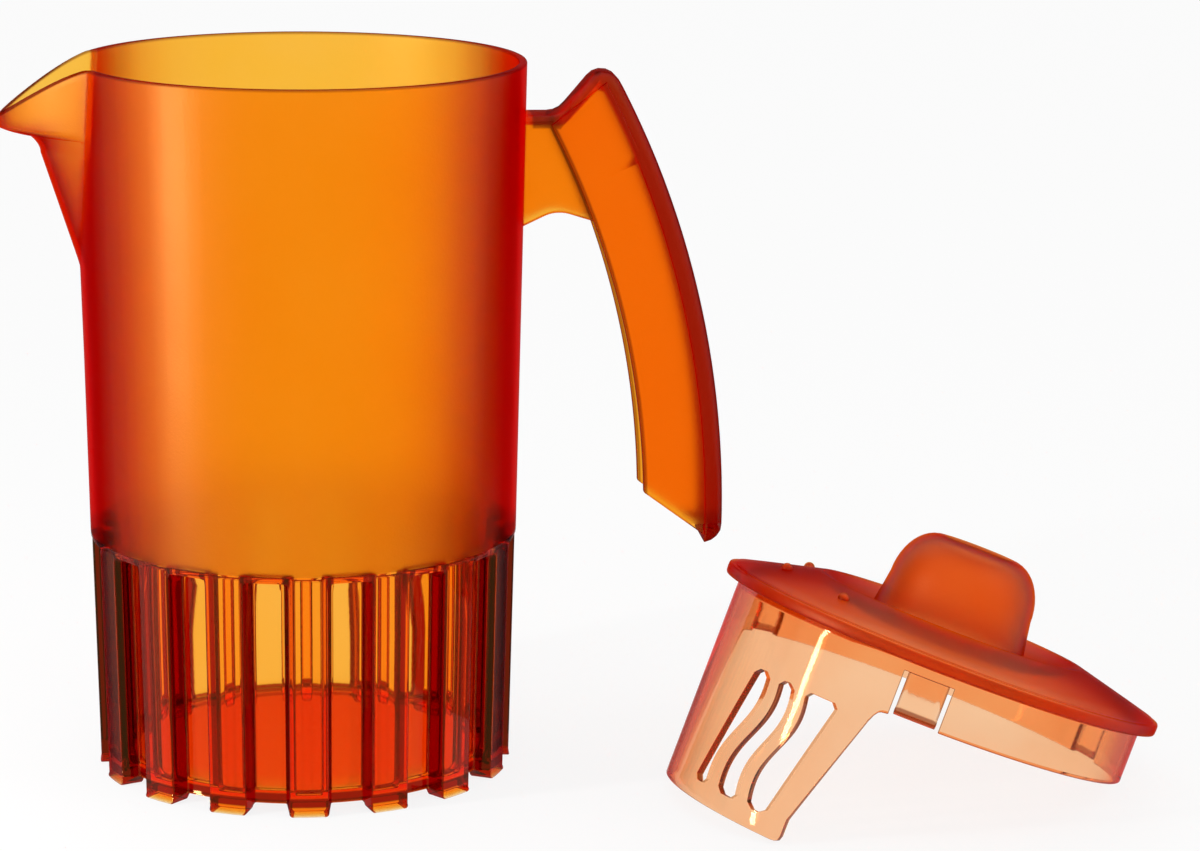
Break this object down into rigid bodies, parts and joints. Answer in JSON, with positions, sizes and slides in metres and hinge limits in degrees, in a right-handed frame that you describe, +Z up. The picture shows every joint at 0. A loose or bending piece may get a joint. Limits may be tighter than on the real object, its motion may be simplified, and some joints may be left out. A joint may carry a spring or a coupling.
{
  "type": "serving pitcher",
  "caption": "Tapered plastic serving pitcher with a pouring spout, fluted clear base and open-ended grip, with its round lift-off strainer lid lying beside it.",
  "frame": {"origin": "on the table, at the middle of the footprint of the jug and the lid together", "axes": "+X from the spout to the handle, +Y to the back, away from the side where the lid lies, +Z up"},
  "size_m": [0.2948, 0.1518, 0.1843],
  "materials": {
    "jug_frosted": "frosted translucent orange plastic, fine-blasted",
    "jug_clear": "clear polished orange plastic",
    "lid_frosted": "frosted translucent amber-brown plastic",
    "lid_clear": "clear polished pale amber plastic"
  },
  "bodies": {
    "jug": {"barrel": "jug_frosted", "pouring_spout": "jug_frosted", "fluted_base": "jug_clear", "jug_floor": "jug_clear", "handle_neck": "jug_frosted", "grip_spine": "jug_frosted", "grip_cheek_front": "jug_frosted", "grip_cheek_back": "jug_frosted"},
    "lid": {"lid_cover": "lid_frosted", "lid_knob": "lid_frosted", "lid_skirt": "lid_clear", "strainer": "lid_clear"},
    "catch_front": {"snap_catch_1": "lid_clear"},
    "catch_side": {"snap_catch_2": "lid_clear"},
    "catch_back": {"snap_catch_3": "lid_clear"}
  },
  "joints": [
    {"name": "lid_lift", "type": "slide", "parent": "jug", "child": "lid", "axis": [0, 0, 1], "range_m": [0, 0.25]},
    {"name": "catch_front_flex", "type": "hinge", "parent": "lid", "child": "catch_front", "pos_m": [0.07856, -0.06935, 0.04256], "axis": [0.9072, -0.2768, -0.3168], "range_deg": [0, 5], "stiffness_Nm_per_rad": 0.5},
    {"name": "catch_side_flex", "type": "hinge", "parent": "lid", "child": "catch_side", "pos_m": [0.13887, -0.00509, 0.01176], "axis": [-0.2612, 0.9652, -0.013], "range_deg": [0, 5], "stiffness_Nm_per_rad": 0.5},
    {"name": "catch_back_flex", "type": "hinge", "parent": "lid", "child": "catch_back", "pos_m": [0.05417, 0.02075, 0.04134], "axis": [-0.646, -0.6884, 0.3299], "range_deg": [0, 5], "stiffness_Nm_per_rad": 0.5}
  ]
}
